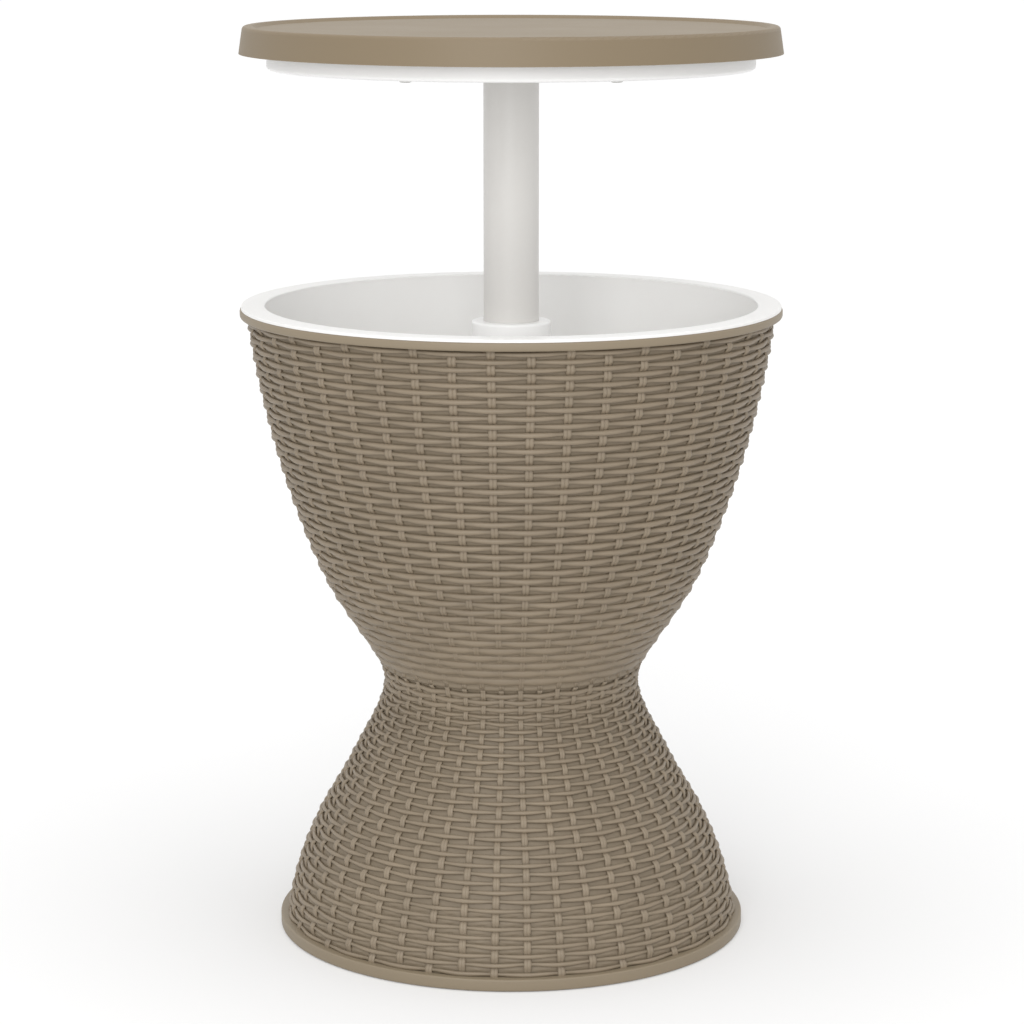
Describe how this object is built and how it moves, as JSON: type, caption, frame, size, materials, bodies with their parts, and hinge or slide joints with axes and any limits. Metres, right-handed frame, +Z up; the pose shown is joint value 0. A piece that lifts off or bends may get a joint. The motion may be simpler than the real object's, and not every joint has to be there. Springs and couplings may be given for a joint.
{
  "type": "cooler table",
  "caption": "Round patio side table with a woven-look hourglass body that holds an ice bucket; its lid is the table top and slides up on a central post.",
  "frame": {"origin": "centre of the foot band's underside, on the floor", "axes": "+Z up along the post, +X towards the drain"},
  "size_m": [0.452, 0.4518, 0.7628],
  "materials": {
    "woven_brown": "moulded weave, matt",
    "lid_brown": "fine grain, satin",
    "bucket_white": "smooth, soft gloss",
    "post_white": "smooth, satin",
    "nylon": "smooth nylon",
    "rubber": "matt",
    "steel": "stainless"
  },
  "bodies": {
    "cooler": {"base_shell": "woven_brown", "upper_shell": "woven_brown", "bucket_liner": "bucket_white", "guide_column": "bucket_white", "column_collar": "bucket_white", "waist_screws": "steel", "drain_spout": "nylon", "drain_gasket": "rubber", "drain_nut": "nylon"},
    "lock_sleeve": {"lock_sleeve": "nylon"},
    "table_top": {"table_top": "lid_brown", "lid_liner": "bucket_white", "lid_screws": "steel", "post_ring": "bucket_white", "lift_post": "post_white", "post_flange": "nylon", "post_screws": "steel", "lock_cam": "nylon", "cam_pin": "steel", "cam_washer": "steel", "cam_screw": "steel"},
    "drain_plug": {"drain_plug": "rubber"}
  },
  "joints": [
    {"name": "lid_lift", "type": "slide", "parent": "cooler", "child": "lock_sleeve", "axis": [0, 0, 1], "range_m": [-0.2068, 0]},
    {"name": "lid_twist", "type": "hinge", "parent": "lock_sleeve", "child": "table_top", "pos_m": [0, 0, 0.4457], "axis": [0, 0, 1], "range_deg": [0, 60]},
    {"name": "drain_plug_pull", "type": "slide", "parent": "cooler", "child": "drain_plug", "axis": [0, 0, 1], "range_m": [0, 0.03]}
  ]
}
